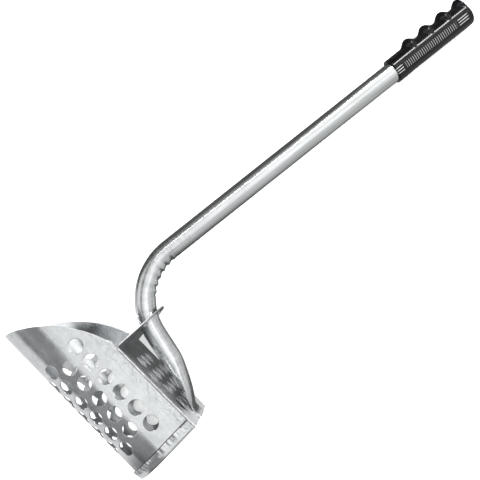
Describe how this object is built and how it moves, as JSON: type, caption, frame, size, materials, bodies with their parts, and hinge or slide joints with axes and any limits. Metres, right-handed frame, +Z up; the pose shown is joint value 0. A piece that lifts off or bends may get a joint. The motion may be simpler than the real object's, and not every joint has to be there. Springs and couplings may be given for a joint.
{
  "type": "beach sand scoop",
  "caption": "Perforated steel sifting scoop with a slanted rounded lip, a bent tube handle through a folded bracket, and a finger grip.",
  "frame": {"origin": "on the ground, under the middle of the tool's bounding box as it lies on its side", "axes": "+X from the bucket toward the grip along the tool's length, +Y toward the digging lip, +Z up, which is across the bucket"},
  "size_m": [0.627, 0.211, 0.1102],
  "materials": {
    "galvanised_sheet": "smooth zinc coat",
    "galvanised_cap": "smooth zinc coat, crimped",
    "galvanised_panel": "dull zinc coat",
    "galvanised_tube": "dull mottled zinc coat",
    "black_vinyl": "glossy moulded vinyl",
    "weld_metal": "rough weld bead"
  },
  "bodies": {
    "root": {"bucket_shell": "galvanised_sheet", "end_cap": "galvanised_cap", "back_panel": "galvanised_panel", "handle_tube": "galvanised_tube", "handle_grip": "black_vinyl", "left_seam_weld": "weld_metal", "right_seam_weld": "weld_metal", "bracket_tack_welds": "weld_metal", "tail_welds": "weld_metal", "cap_spot_welds": "weld_metal"}
  },
  "joints": []
}
